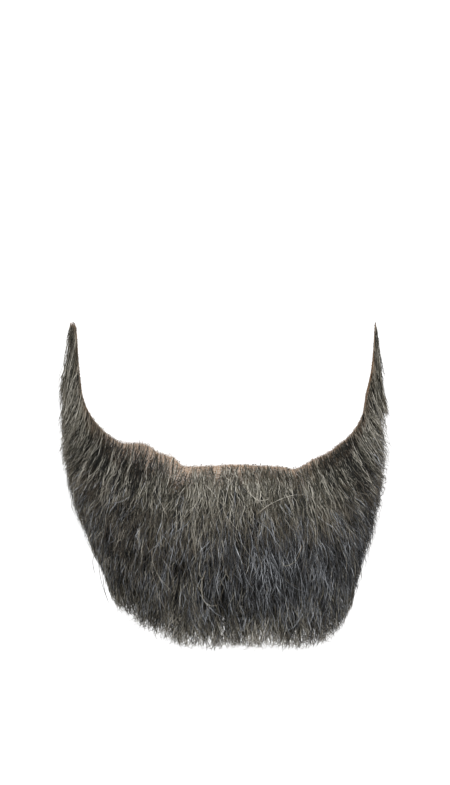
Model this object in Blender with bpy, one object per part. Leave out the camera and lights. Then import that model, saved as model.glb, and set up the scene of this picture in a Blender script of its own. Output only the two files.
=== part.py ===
"""A fake beard: a net wall that goes round the jaw, and the hair that is knotted to it.

Metres, +Z up. The wearer faces -Y, and the wearer's left is at +X. The origin is where
the front of the chin touches the inside of the net.

Every shape is lofted through upright sections. A section is a half plane that starts
at an upright axis inside the jaw, turned by so many degrees from the chin. A point of a
section is (distance from that axis, height). The tables are in millimetres.
"""

import bisect
import math
import random

import bmesh
import bpy

MM = 0.001

AXIS_BEHIND_CHIN = 62.0  # the upright axis of the sections, behind the chin's front
LAST_TURN = 114.0  # the back edge of the sideburns
WALL = 1.0  # the net, with its knots
GAP = 0.6  # between the net and the hair, and between pieces of hair

# The inside of the net: its top edge, the face below it, the edge of the jaw, and the
# free edge at the neck. Past 98 degrees the top edge climbs to the sideburn.
NET_SECTIONS = (
    dict(turn=0.0, top=(57.0, 16.0), face=(62.0, 0.0), edge=(54.0, -16.0), neck=(16.0, -22.0)),
    dict(turn=22.0, top=(58.2, 15.2), face=(61.0, -1.0), edge=(53.4, -15.5), neck=(17.5, -21.5)),
    dict(turn=40.0, top=(57.0, 18.8), face=(58.4, 1.0), edge=(51.0, -13.0), neck=(21.0, -20.0)),
    dict(turn=60.0, top=(56.2, 24.4), face=(56.3, 5.0), edge=(50.6, -9.5), neck=(27.0, -17.5)),
    dict(turn=80.0, top=(60.0, 31.5), face=(58.0, 12.0), edge=(52.0, -4.5), neck=(38.5, -12.0)),
    dict(turn=94.0, top=(66.6, 42.0), face=(63.0, 24.0), edge=(57.4, 4.0), neck=(50.0, -3.0)),
    dict(turn=100.0, top=(70.2, 53.0), face=(67.0, 35.0), edge=(62.0, 11.5), neck=(56.0, 1.0)),
    dict(turn=104.5, top=(73.4, 83.0), face=(71.6, 46.0), edge=(66.3, 17.5), neck=(61.5, 6.0)),
    dict(turn=114.0, top=(79.9, 83.0), face=(77.4, 52.0), edge=(73.0, 26.0), neck=(70.0, 12.0)),
)
NET_POINTS = ("top", "face", "edge", "neck")

# The hair: its outside (belly, fall, hem) and, where it hangs free, its inside (hang).
HAIR_SECTIONS = (
    dict(turn=0.0, belly=(75.0, -8.0), fall=(77.0, -38.0), hem=(66.0, -70.0), hang=(57.5, -42.0)),
    dict(turn=22.0, belly=(74.5, -8.0), fall=(77.0, -36.0), hem=(67.0, -70.0), hang=(57.5, -41.0)),
    dict(turn=40.0, belly=(72.5, -4.0), fall=(75.5, -32.0), hem=(66.0, -66.0), hang=(57.0, -38.0)),
    dict(turn=60.0, belly=(71.5, 3.0), fall=(73.0, -24.0), hem=(63.5, -57.0), hang=(56.0, -33.0)),
    dict(turn=80.0, belly=(75.0, 14.0), fall=(72.2, -12.0), hem=(58.0, -45.0), hang=(55.0, -26.0)),
    dict(turn=94.0, belly=(79.0, 28.0), fall=(77.6, 5.0), hem=(61.5, -33.0), hang=(58.0, -14.0)),
    dict(turn=104.0, belly=(82.4, 44.0), fall=(79.6, 14.0), hem=(69.0, -16.0), hang=(65.0, -2.0)),
    dict(turn=114.0, belly=(87.0, 54.0), fall=(84.4, 28.0), hem=(76.0, 0.0), hang=(73.0, 13.0)),
)
HAIR_POINTS = ("belly", "fall", "hem", "hang")

# The hem is not cut level: it is higher on the wearer's right and lower on the left.
HEM_TRIM = (
    dict(turn=-114.0, lift=0.0),
    dict(turn=-72.0, lift=4.0),
    dict(turn=-50.0, lift=6.0),
    dict(turn=-22.0, lift=1.0),
    dict(turn=20.0, lift=0.0),
    dict(turn=45.0, lift=-3.0),
    dict(turn=62.0, lift=-4.0),
    dict(turn=114.0, lift=0.0),
)


def slopes(xs, ys):
    """Slopes that carry a smooth curve through a table without overshooting it."""
    steps = [(ys[i + 1] - ys[i]) / (xs[i + 1] - xs[i]) for i in range(len(xs) - 1)]
    inner = [
        0.0 if before * after <= 0 else 2 * before * after / (before + after)
        for before, after in zip(steps, steps[1:])
    ]
    return [steps[0], *inner, steps[-1]]


def hermite(start, end, start_slope, end_slope, span, share):
    """A cubic from start to end, with the given slopes, over a span."""
    rest = 1 - share
    return (
        (1 + 2 * share) * rest**2 * start
        + share * rest**2 * span * start_slope
        + share**2 * (3 - 2 * share) * end
        - share**2 * rest * span * end_slope
    )


class Table:
    """A smooth curve through pairs of a turn and a value."""

    def __init__(self, pairs):
        self.turns = [turn for turn, _ in pairs]
        self.values = [value for _, value in pairs]
        self.slopes = slopes(self.turns, self.values)

    def at(self, turn):
        i = min(max(bisect.bisect(self.turns, turn) - 1, 0), len(self.turns) - 2)
        span = self.turns[i + 1] - self.turns[i]
        share = (turn - self.turns[i]) / span
        ends = self.values[i], self.values[i + 1], self.slopes[i], self.slopes[i + 1]
        return hermite(*ends, span, share)


def mirrored(rows, column, axis):
    """A column of a section table, read at any turn and mirrored past the chin."""
    pairs = [(row["turn"], row[column][axis]) for row in rows]
    return Table([(-turn, value) for turn, value in pairs[:0:-1]] + pairs)


TABLES = {
    name: (mirrored(rows, name, 0), mirrored(rows, name, 1))
    for rows, names in ((NET_SECTIONS, NET_POINTS), (HAIR_SECTIONS, HAIR_POINTS))
    for name in names
}
TRIM = Table([(row["turn"], row["lift"]) for row in HEM_TRIM])


def section_point(name, turn):
    across, up = TABLES[name]
    return across.at(turn), up.at(turn)


def curve(points, place):
    """A smooth curve through section points: place 0 is the first, 1 the second, and so on."""
    i = min(int(place), len(points) - 2)
    lengths = [math.dist(points[k], points[k + 1]) for k in range(len(points) - 1)]

    def tangent(k, axis):
        if k in (0, len(points) - 1):
            near = min(k, len(points) - 2)
            return (points[near + 1][axis] - points[near][axis]) / lengths[near]
        before = (points[k][axis] - points[k - 1][axis]) / lengths[k - 1]
        after = (points[k + 1][axis] - points[k][axis]) / lengths[k]
        total = lengths[k - 1] + lengths[k]
        return (before * lengths[k] + after * lengths[k - 1]) / total

    return tuple(
        hermite(
            points[i][axis],
            points[i + 1][axis],
            tangent(i, axis),
            tangent(i + 1, axis),
            lengths[i],
            place - i,
        )
        for axis in (0, 1)
    )


NEARBY = 0.01  # the step that finds a curve's direction


def net(turn, place, out=0.0):
    """A point of the net at a turn, place 0 to 3 from its top to its neck edge, moved out."""
    points = [section_point(name, turn) for name in NET_POINTS]
    here = curve(points, place)
    before = curve(points, max(place - NEARBY, 0))
    after = curve(points, min(place + NEARBY, 3))
    run = math.dist(before, after)
    normal = (-(after[1] - before[1]) / run, (after[0] - before[0]) / run)
    return here[0] + out * normal[0], here[1] + out * normal[1]


def world(turn, point):
    """A section point in metres."""
    across, up = point
    angle = math.radians(turn)
    return (
        MM * across * math.sin(angle),
        MM * (AXIS_BEHIND_CHIN - across * math.cos(angle)),
        MM * up,
    )


def spread(first, last, count):
    return [first + (last - first) * i / (count - 1) for i in range(count)]


def material(name, colour, roughness):
    made = bpy.data.materials.new(name)
    made.use_nodes = True
    shader = made.node_tree.nodes["Principled BSDF"]
    shader.inputs["Base Color"].default_value = (*colour, 1.0)
    shader.inputs["Roughness"].default_value = roughness
    shader.inputs["Metallic"].default_value = 0.0
    return made


def shell(name, inner, outer, finish):
    """A closed solid between two grids of points with the same rows and columns."""
    rows, columns = len(inner), len(inner[0])
    shape = bmesh.new()
    inside = [[shape.verts.new(point) for point in row] for row in inner]
    outside = [[shape.verts.new(point) for point in row] for row in outer]
    for r in range(rows - 1):
        for c in range(columns - 1):
            for grid in (inside, outside):
                shape.faces.new((grid[r][c], grid[r][c + 1], grid[r + 1][c + 1], grid[r + 1][c]))
    border = [(0, c) for c in range(columns)]
    border += [(r, columns - 1) for r in range(1, rows)]
    border += [(rows - 1, c) for c in range(columns - 2, -1, -1)]
    border += [(r, 0) for r in range(rows - 2, 0, -1)]
    for (r1, c1), (r2, c2) in zip(border, border[1:] + border[:1]):
        shape.faces.new((inside[r1][c1], inside[r2][c2], outside[r2][c2], outside[r1][c1]))
    bmesh.ops.recalc_face_normals(shape, faces=shape.faces)
    mesh = bpy.data.meshes.new(name)
    shape.to_mesh(mesh)
    shape.free()
    mesh.materials.append(finish)
    mesh.shade_smooth()
    mesh.set_sharp_from_angle(angle=math.radians(40))
    made = bpy.data.objects.new(name, mesh)
    bpy.context.scene.collection.objects.link(made)
    return made


# The net

NET_COLUMNS = 59
NET_ROWS = 12


def make_net(finish):
    turns = spread(-LAST_TURN, LAST_TURN, NET_COLUMNS)
    places = spread(0.0, 3.0, NET_ROWS)
    inner, outer = (
        [[world(turn, net(turn, place, out)) for turn in turns] for place in places]
        for out in (0.0, WALL)
    )
    return shell("lace_backing", inner, outer, finish)


# The hair over the face and the jaw. It is one coat of locks, cut into five pieces.

LOCK_TURN = 7.55  # the width of a lock, in degrees round the axis
LOCK_RADIUS = 60.0  # about how far the locks are from the axis
COLUMNS_IN_LOCK = 4
VALLEY_DEPTH = 0.36  # how far the valley between two locks cuts into the coat
FULLNESS = 2.2  # how much further out some locks stand than others
VALLEY_LIFT = 8.0  # how much shorter the hair is between two locks
TIP_LIFT = 6.0  # how much the locks differ in length
TIP_THICKNESS = 3.0
ROOT_THICKNESS = 0.8
FIRST_ROOTS = 0.12  # where the hair starts, as a place on the net
LAST_ROOTS = 1.75  # where the front hair leaves the net to hang free
COAT_ROWS = 13
NET_SHARE = 5 / 12  # the share of the coat's rows that lie on the net
LEAN = 5.0  # how far the locks drift back over the cheeks, in degrees
LEAN_ENDS = 105.0  # the turn past which the locks hang straight down again
WAVE = 1.5  # how far a lock sways, in degrees
WAVE_LENGTH = 5.0  # radians of sway from the root to the tip
FALL_TRIM = 0.3  # how much of an uneven hem the outside of the coat shares higher up
HANG_TRIM = 0.5  # the same for its inside

COAT_PIECES = (
    dict(name="hair_sideburn_right", start=-15, locks=4),
    dict(name="hair_jaw_right", start=-11, locks=7),
    dict(name="hair_chin", start=-4, locks=8),
    dict(name="hair_jaw_left", start=4, locks=7),
    dict(name="hair_sideburn_left", start=11, locks=4),
)


def lock_numbers(position):
    """What one lock has of its own, from 0 to 1: its shortness, sway and fullness."""
    chance = random.Random(1000 + math.floor(position))
    return chance.random(), chance.random(), chance.random()


def ridge(position):
    """0 in the valley between two locks and 1 on a lock's back, at a position in locks."""
    return math.sin(math.pi * (position % 1.0)) ** 0.7


def coat_turn(position, down):
    """The turn of a lock's line at a share of the way down."""
    turn = position * LOCK_TURN
    back = math.copysign(LEAN, turn) * math.sin(math.pi * min(abs(turn) / LEAN_ENDS, 1.0))
    _, phase, _ = lock_numbers(position)
    sway = WAVE * ridge(position) * math.sin(2 * math.pi * phase + WAVE_LENGTH * down)
    return turn + (back * down + sway) * down


def hem_lift(position):
    """How much shorter than the table's hem the coat is at a position in locks."""
    shortness, _, _ = lock_numbers(position)
    inside = ridge(position)
    uneven = TRIM.at(position * LOCK_TURN)
    return uneven + VALLEY_LIFT * (1 - inside) + TIP_LIFT * shortness * inside


def coat_inside(turn, down, lift):
    """The side of the coat towards the net, and towards the neck where it hangs."""
    out = WALL + GAP
    if down <= NET_SHARE:
        place = FIRST_ROOTS + (LAST_ROOTS - FIRST_ROOTS) * down / NET_SHARE
        return net(turn, place, out)
    hem, hang = section_point("hem", turn), section_point("hang", turn)
    leaving = net(turn, LAST_ROOTS, out)
    middle = (hang[0], hang[1] + HANG_TRIM * lift)
    tip = (hem[0] - TIP_THICKNESS, hem[1] + lift)
    return curve((leaving, middle, tip), 2 * (down - NET_SHARE) / (1 - NET_SHARE))


def coat_outside(turn, down, lift, fullness):
    start = net(turn, FIRST_ROOTS, WALL + GAP + ROOT_THICKNESS)
    belly, fall, hem = (section_point(name, turn) for name in ("belly", "fall", "hem"))
    middle = (fall[0], fall[1] + FALL_TRIM * lift)
    across, up = curve((start, belly, middle, (hem[0], hem[1] + lift)), 3 * down)
    return across + FULLNESS * fullness * math.sin(math.pi * down), up


def make_coat(piece, finish):
    count = piece["locks"] * COLUMNS_IN_LOCK + 1
    positions = spread(piece["start"], piece["start"] + piece["locks"], count)
    half_gap = 0.5 * GAP / (math.radians(LOCK_TURN) * LOCK_RADIUS)
    positions[0] += half_gap
    positions[-1] -= half_gap
    inner, outer = [], []
    for down in spread(0.0, 1.0, COAT_ROWS):
        inside_row, outside_row = [], []
        for position in positions:
            turn = coat_turn(position, down)
            lift = hem_lift(position)
            back = ridge(position)
            _, _, full = lock_numbers(position)
            inside = coat_inside(turn, down, lift)
            outside = coat_outside(turn, down, lift, (full - 0.5) * back)
            cut = VALLEY_DEPTH * (1 - back) * math.sin(math.pi * min(down, 0.5))
            outside = tuple(o + cut * (i - o) for i, o in zip(inside, outside))
            inside_row.append(world(turn, inside))
            outside_row.append(world(turn, outside))
        inner.append(inside_row)
        outer.append(outside_row)
    return shell(piece["name"], inner, outer, finish)


# The hair under the jaw, which hangs from the net behind the front hair

UNDER_LOCKS = 20
UNDER_LAST_TURN = 88.0
UNDER_PLACES = (2.06, 2.9)  # where its roots start and end, as places on the net
UNDER_ROWS = 7
UNDER_TIPS = 3  # rows of tips from the jaw's edge to the neck
UNDER_VALLEY = 4.5  # how much shorter its hair is between two tips
UNDER_CLEARANCE = 1.2  # behind the front hair
NECK_CLEARANCE = 8.0  # from its last tips to the net's neck edge
UNDER_LENGTHS = (0.80, 0.55)  # of the way down to the hem, at the front and the back
SHORTEST = 6.0


def make_under_jaw(finish):
    count = UNDER_LOCKS * COLUMNS_IN_LOCK + 1
    inner, outer = [], []
    for share in spread(0.0, 1.0, UNDER_ROWS):
        root_row, tip_row = [], []
        place = UNDER_PLACES[0] + (UNDER_PLACES[1] - UNDER_PLACES[0]) * share
        reach = UNDER_LENGTHS[0] + (UNDER_LENGTHS[1] - UNDER_LENGTHS[0]) * share
        for i, turn in enumerate(spread(-UNDER_LAST_TURN, UNDER_LAST_TURN, count)):
            root = net(turn, place, WALL + GAP)
            front = section_point("hang", turn)[0] - UNDER_CLEARANCE
            back = section_point("neck", turn)[0] + NECK_CLEARANCE
            valleys = 2 - ridge(i / COLUMNS_IN_LOCK) - ridge(share * UNDER_TIPS + 0.5)
            length = (root[1] - section_point("hem", turn)[1]) * reach
            hanging = max(length - UNDER_VALLEY * valleys, SHORTEST)
            tip = (front + (back - front) * share, root[1] - hanging)
            root_row.append(world(turn, root))
            tip_row.append(world(turn, tip))
        inner.append(root_row)
        outer.append(tip_row)
    return shell("hair_under_jaw", inner, outer, finish)


for old in list(bpy.data.objects):
    bpy.data.objects.remove(old)

net_finish = material("lace_net", (0.42, 0.27, 0.17), 0.8)
hair_finish = material("grey_hair", (0.06, 0.058, 0.054), 0.5)

make_net(net_finish)
for coat_piece in COAT_PIECES:
    make_coat(coat_piece, hair_finish)
make_under_jaw(hair_finish)
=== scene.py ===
import math

import bpy
import numpy as np
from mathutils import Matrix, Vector
from mathutils.bvhtree import BVHTree

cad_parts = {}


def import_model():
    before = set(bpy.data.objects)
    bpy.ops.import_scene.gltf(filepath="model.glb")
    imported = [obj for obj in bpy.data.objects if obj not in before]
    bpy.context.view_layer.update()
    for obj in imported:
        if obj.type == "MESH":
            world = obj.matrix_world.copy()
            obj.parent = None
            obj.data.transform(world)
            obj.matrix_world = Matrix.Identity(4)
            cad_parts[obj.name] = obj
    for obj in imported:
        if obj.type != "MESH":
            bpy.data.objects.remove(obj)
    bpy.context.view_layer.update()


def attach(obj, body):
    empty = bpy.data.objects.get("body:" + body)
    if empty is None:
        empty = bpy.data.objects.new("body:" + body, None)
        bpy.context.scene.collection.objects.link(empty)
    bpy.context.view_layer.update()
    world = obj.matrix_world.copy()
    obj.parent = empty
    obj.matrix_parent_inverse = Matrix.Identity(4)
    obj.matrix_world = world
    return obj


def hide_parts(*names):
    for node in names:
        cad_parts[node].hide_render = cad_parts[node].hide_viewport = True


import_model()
mm = 0.001
dice = np.random.default_rng(41)


def ramp(value, start, end):
    # 0 up to the start, 1 from the end on and even between them, also where the end is the smaller one
    return np.clip((value - start) / (end - start), 0, 1)


def hump(value, middle, width):
    # 1 in the middle, falling softly to 0 on both sides
    return np.exp(-(((value - middle) / width) ** 2))


def unit(lines):
    return lines / (np.linalg.norm(lines, axis=-1, keepdims=True) + 1e-12)


def placed(name, data):
    piece = bpy.data.objects.new(name, data)
    bpy.context.scene.collection.objects.link(piece)
    return piece


def onlySelect(piece):
    bpy.ops.object.select_all(action="DESELECT")
    piece.select_set(True)
    bpy.context.view_layer.objects.active = piece


def turnOutwards():
    bpy.ops.object.mode_set(mode="EDIT")
    bpy.ops.mesh.select_all(action="SELECT")
    bpy.ops.mesh.normals_make_consistent(inside=False)
    bpy.ops.object.mode_set(mode="OBJECT")


def fitted(piece, solid):
    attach(piece, "root")
    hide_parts(solid)


# Camera, light and the room

photo = {
    "azimuth": -5.5,  # degrees round from straight ahead
    "distance": 2.0,  # from the front of the chin
    "aside": -0.007,  # how far the picture's middle is from the chin
    "height": 0.049,
    "frameHeight": 0.3645,  # what the picture holds at the chin, from top to bottom
    "sensor": 36.0,
}


def placeCamera():
    angle = math.radians(photo["azimuth"])
    right = Vector((math.cos(angle), math.sin(angle), 0))
    back = Vector((math.sin(angle), -math.cos(angle), 0))
    data = bpy.data.cameras.new("camera")
    data.sensor_fit = "AUTO"
    data.sensor_width = photo["sensor"]
    data.lens = photo["sensor"] * photo["distance"] / photo["frameHeight"]
    camera = placed("camera", data)
    camera.location = back * photo["distance"] + right * photo["aside"] + Vector((0, 0, photo["height"]))
    camera.rotation_euler = (math.radians(90), 0, angle)
    bpy.context.scene.camera = camera


room = {
    "radius": 4.0,
    "floor": -1.4,
    "height": 5.0,
    "corner": 1.0,  # radius of the sweep between floor and wall
    "cornerStep": 15,  # degrees
    "sides": 96,
    "white": (0.93, 0.93, 0.93),
    "glow": 0.40,  # what the room adds of its own, so that the sky can be dim
    "sky": 0.6,
}
lamps = {
    "key": {"at": (0.35, -1.6, 2.1), "size": 1.1, "power": 62.0},
    "left": {"at": (-2.0, -1.2, 0.7), "size": 1.6, "power": 20.0},
    "right": {"at": (2.1, -1.0, 0.7), "size": 1.6, "power": 18.0},
    "rim": {"at": (0.5, 1.8, 1.5), "size": 1.4, "power": 8.0},
}


def lampAt(name, at, size, power):
    data = bpy.data.lights.new(name, "AREA")
    data.shape = "DISK"
    data.size = size
    data.energy = power
    lamp = placed(name, data)
    lamp.location = at
    lamp.rotation_euler = (-Vector(at)).to_track_quat("-Z", "Y").to_euler()


def makeRoom():
    # one profile from the floor's middle to the top of the wall, turned round
    bend = [math.radians(a) for a in range(-90, 1, room["cornerStep"])]
    inner = room["radius"] - room["corner"]
    low = room["floor"] + room["corner"]
    profile = [(0.0, room["floor"])]
    profile += [(inner + room["corner"] * math.cos(a), low + room["corner"] * math.sin(a)) for a in bend]
    profile += [(room["radius"], room["height"])]
    mesh = bpy.data.meshes.new("room")
    mesh.from_pydata([(r, 0, z) for r, z in profile], [(i, i + 1) for i in range(len(profile) - 1)], [])
    wall = placed("room", mesh)
    onlySelect(wall)
    spin = wall.modifiers.new("spin", "SCREW")
    spin.steps = spin.render_steps = room["sides"]
    spin.use_merge_vertices = True
    bpy.ops.object.modifier_apply(modifier="spin")
    bpy.ops.object.shade_smooth()
    paint = bpy.data.materials.new("roomWhite")
    paint.use_nodes = True
    shader = paint.node_tree.nodes["Principled BSDF"]
    shader.inputs["Base Color"].default_value = (*room["white"], 1)
    shader.inputs["Roughness"].default_value = 1.0
    shader.inputs["Specular IOR Level"].default_value = 0.0
    shader.inputs["Emission Color"].default_value = (1, 1, 1, 1)
    shader.inputs["Emission Strength"].default_value = room["glow"]
    wall.data.materials.append(paint)
    # the sky lights the beard through the room, which only the camera sees
    wall.visible_diffuse = wall.visible_glossy = wall.visible_shadow = False
    wall.visible_transmission = False
    outside = bpy.data.worlds.new("sky")
    outside.use_nodes = True
    sky = outside.node_tree.nodes["Background"]
    sky.inputs["Color"].default_value = (1.0, 1.0, 1.0, 1)
    sky.inputs["Strength"].default_value = room["sky"]
    bpy.context.scene.world = outside
    for name, lamp in lamps.items():
        lampAt(name, **lamp)
    bpy.context.scene.view_settings.view_transform = "Standard"


placeCamera()
makeRoom()
print("camera and room ready")


# Shader maths


class Value:
    def __init__(self, paint, socket):
        self.paint = paint
        self.socket = socket

    def maths(self, operation, *others):
        return self.paint.node("Math", {"operation": operation}, self, *others)

    def __add__(self, other):
        return self.maths("ADD", other)

    __radd__ = __add__

    def __mul__(self, other):
        return self.maths("MULTIPLY", other)

    __rmul__ = __mul__

    def __sub__(self, other):
        return self.maths("SUBTRACT", other)

    def __rsub__(self, other):
        return self * -1 + other

    def lessThan(self, other):
        return self.maths("LESS_THAN", other)

    def least(self, other):
        return self.maths("MINIMUM", other)

    def most(self, other):
        return self.maths("MAXIMUM", other)


class Paint:
    def __init__(self, name, **constants):
        self.material = bpy.data.materials.new(name)
        self.material.use_nodes = True
        self.tree = self.material.node_tree
        self.shader = self.tree.nodes["Principled BSDF"]
        for socket, value in constants.items():
            self.shader.inputs[socket.replace("_", " ")].default_value = value

    def put(self, socket, value):
        if isinstance(value, Value):
            self.tree.links.new(value.socket, socket)
        else:
            socket.default_value = value

    def node(self, kind, settings, *values, out=0, **named):
        made = self.tree.nodes.new("ShaderNode" + kind)
        for name, value in settings.items():
            if name == "stops":
                self.setStops(made.color_ramp, value)
            else:
                setattr(made, name, value)
        for i, value in enumerate(values):
            self.put(made.inputs[i], value)
        for name, value in named.items():
            self.put(made.inputs[name], value)
        return Value(self, made.outputs[out])

    def setStops(self, band, stops):
        while len(band.elements) > 1:
            band.elements.remove(band.elements[-1])
        for i, (place, colour) in enumerate(stops):
            stop = band.elements[0] if i == 0 else band.elements.new(place)
            stop.position = place
            stop.color = (*colour, 1)

    def mix(self, share, first, second):
        made = self.tree.nodes.new("ShaderNodeMix")
        made.data_type = "RGBA"
        self.put(made.inputs["Factor"], share)
        for socket, value in (("A", first), ("B", second)):
            colour = value if isinstance(value, Value) else (*value, 1)
            self.put([s for s in made.inputs if s.name == socket and s.type == "RGBA"][0], colour)
        return Value(self, [s for s in made.outputs if s.type == "RGBA"][0])

    def ownMap(self, name):
        parts = self.node("SeparateXYZ", {}, self.node("UVMap", {"uv_map": name}))
        return parts, Value(self, parts.socket.node.outputs[1])

    def set(self, name, value):
        self.put(self.shader.inputs[name], value)


# The sections that the net and the hair are lofted through, as in the solids.
# Each is a half plane that starts at an upright axis in the jaw, turned from the chin.
# A point is (distance from the axis, height), in millimetres.

axisBehindChin = 62.0
lastTurn = 114.0  # the back edge of the sideburns
netSections = (
    dict(turn=0.0, top=(57.0, 16.0), face=(62.0, 0.0), edge=(54.0, -16.0), neck=(16.0, -22.0)),
    dict(turn=22.0, top=(58.2, 15.2), face=(61.0, -1.0), edge=(53.4, -15.5), neck=(17.5, -21.5)),
    dict(turn=40.0, top=(57.0, 18.8), face=(58.4, 1.0), edge=(51.0, -13.0), neck=(21.0, -20.0)),
    dict(turn=60.0, top=(56.2, 24.4), face=(56.3, 5.0), edge=(50.6, -9.5), neck=(27.0, -17.5)),
    dict(turn=80.0, top=(60.0, 31.5), face=(58.0, 12.0), edge=(52.0, -4.5), neck=(38.5, -12.0)),
    dict(turn=94.0, top=(66.6, 42.0), face=(63.0, 24.0), edge=(57.4, 4.0), neck=(50.0, -3.0)),
    dict(turn=100.0, top=(70.2, 53.0), face=(67.0, 35.0), edge=(62.0, 11.5), neck=(56.0, 1.0)),
    dict(turn=104.5, top=(73.4, 83.0), face=(71.6, 46.0), edge=(66.3, 17.5), neck=(61.5, 6.0)),
    dict(turn=114.0, top=(79.9, 83.0), face=(77.4, 52.0), edge=(73.0, 26.0), neck=(70.0, 12.0)),
)
hairSections = (
    dict(turn=0.0, belly=(75.0, -8.0), fall=(77.0, -38.0), hem=(66.0, -70.0), hang=(57.5, -42.0)),
    dict(turn=22.0, belly=(74.5, -8.0), fall=(77.0, -36.0), hem=(67.0, -70.0), hang=(57.5, -41.0)),
    dict(turn=40.0, belly=(72.5, -4.0), fall=(75.5, -32.0), hem=(66.0, -66.0), hang=(57.0, -38.0)),
    dict(turn=60.0, belly=(71.5, 3.0), fall=(73.0, -24.0), hem=(63.5, -57.0), hang=(56.0, -33.0)),
    dict(turn=80.0, belly=(75.0, 14.0), fall=(72.2, -12.0), hem=(58.0, -45.0), hang=(55.0, -26.0)),
    dict(turn=94.0, belly=(79.0, 28.0), fall=(77.6, 5.0), hem=(61.5, -33.0), hang=(58.0, -14.0)),
    dict(turn=104.0, belly=(82.4, 44.0), fall=(79.6, 14.0), hem=(69.0, -16.0), hang=(65.0, -2.0)),
    dict(turn=114.0, belly=(87.0, 54.0), fall=(84.4, 28.0), hem=(76.0, 0.0), hang=(73.0, 13.0)),
)

# how much higher the hem is than in the sections, in millimetres
hemTrim = (
    (-114.0, 0.0),
    (-72.0, 4.0),
    (-50.0, 6.0),
    (-22.0, 1.0),
    (20.0, 0.0),
    (40.0, -1.0),
    (54.0, 2.0),
    (68.0, 6.5),
    (82.0, 7.5),
    (95.0, 4.0),
    (114.0, 0.0),
)

# how much higher the net's top edge is cut than the even line, in millimetres
edgeRise = (
    (-114.0, 0.0),
    (-68.0, 0.0),
    (-59.0, 2.0),
    (-50.0, 5.0),
    (-45.0, 5.2),
    (-40.0, 3.4),
    (-31.0, 3.4),
    (-26.5, 0.3),
    (19.0, 0.0),
    (28.0, -1.6),
    (39.0, 0.0),
    (114.0, 0.0),
)

# the left sideburn stands a little further out near its top
leftSideburn = {
    "out": 2.4,
    "heights": (48.0, 62.0),
    "turns": (86.0, 98.0),
    "fuller": 0.20,  # how much further out its hair stands
    "fullTurns": (90.0, 98.0),
    "fullEnds": (0.31, 0.13),  # the middle of the places where that hair ends, and their width
}

coat = {
    "netDepth": 0.5,  # how far out the threads are from the inside of the net
    "firstRoots": 0.02,  # where the hair starts, as a place on the net
    "lastRoots": 1.75,  # where the front hair leaves the net to hang free
    "netShare": 5 / 12,  # how far down the coat that is, from 0 to 1
    "edge": 0.8,  # thickness of the coat at its top edge
    "tip": 3.0,  # and at its hem
    "fallTrim": 0.3,  # the share of an uneven hem that its outside has higher up
    "hangTrim": 0.5,  # the same for its inside
}


class Column:
    # a smooth curve through pairs of a turn and a value, read for many turns at once
    def __init__(self, turns, values):
        self.turns = np.array(turns, float)
        self.values = np.array(values, float)
        steps = np.diff(self.values) / np.diff(self.turns)
        product = steps[:-1] * steps[1:]
        total = np.where(product > 0, steps[:-1] + steps[1:], 1.0)
        inner = np.where(product > 0, 2 * product / total, 0.0)
        self.slopes = np.concatenate([steps[:1], inner, steps[-1:]])

    def at(self, turn):
        i = np.clip(np.searchsorted(self.turns, turn, side="right") - 1, 0, len(self.turns) - 2)
        span = self.turns[i + 1] - self.turns[i]
        share = (turn - self.turns[i]) / span
        return hermite(self.values[i], self.values[i + 1], self.slopes[i], self.slopes[i + 1], span, share)


def hermite(start, end, startSlope, endSlope, span, share):
    rest = 1 - share
    return (
        (1 + 2 * share) * rest**2 * start
        + share * rest**2 * span * startSlope
        + share**2 * (3 - 2 * share) * end
        - share**2 * rest * span * endSlope
    )


def columnsOf(rows):
    # both sides alike, one column for the distance and one for the height of each point
    found = {}
    turns = [row["turn"] for row in rows]
    turns = [-t for t in turns[:0:-1]] + turns
    for name in rows[0]:
        if name != "turn":
            for axis in (0, 1):
                values = [row[name][axis] for row in rows]
                found[name, axis] = Column(turns, values[:0:-1] + values)
    return found


columns = {**columnsOf(netSections), **columnsOf(hairSections)}
trim = Column(*zip(*hemTrim))
rise = Column(*zip(*edgeRise))


def section(name, turn):
    up = columns[name, 1].at(turn)
    if name == "top":
        up = up + rise.at(turn)
    return np.stack([columns[name, 0].at(turn), up], axis=-1)


def curveAt(points, place):
    # a smooth curve through section points: place 0 is the first, 1 the second and so on
    lengths = np.linalg.norm(np.diff(points, axis=0), axis=-1)[..., None]
    chords = np.diff(points, axis=0) / lengths
    inner = (chords[:-1] * lengths[1:] + chords[1:] * lengths[:-1]) / (lengths[:-1] + lengths[1:])
    tangents = np.concatenate([chords[:1], inner, chords[-1:]])
    i = np.clip(np.floor(place).astype(int), 0, len(points) - 2)
    each = np.arange(len(place))
    ends = points[i, each], points[i + 1, each]
    slopes = tangents[i, each], tangents[i + 1, each]
    return hermite(*ends, *slopes, lengths[i, each], (place - i)[:, None])


def netSection(turn, place, out):
    points = np.stack([section(name, turn) for name in ("top", "face", "edge", "neck")])
    nearby = 0.01
    before = curveAt(points, np.maximum(place - nearby, 0))
    after = curveAt(points, np.minimum(place + nearby, len(points) - 1))
    along = unit(after - before)
    normal = np.stack([-along[:, 1], along[:, 0]], axis=-1)
    return curveAt(points, place) + out * normal


def world(turn, point):
    angle = np.radians(turn)
    across, up = point[..., 0], point[..., 1]
    near = ramp(up, *leftSideburn["heights"]) * ramp(turn, *leftSideburn["turns"])
    across = across + leftSideburn["out"] * near
    return mm * np.stack([across * np.sin(angle), axisBehindChin - across * np.cos(angle), up], axis=-1)


def netPoint(turn, place, out):
    return world(turn, netSection(turn, place, out))


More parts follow.
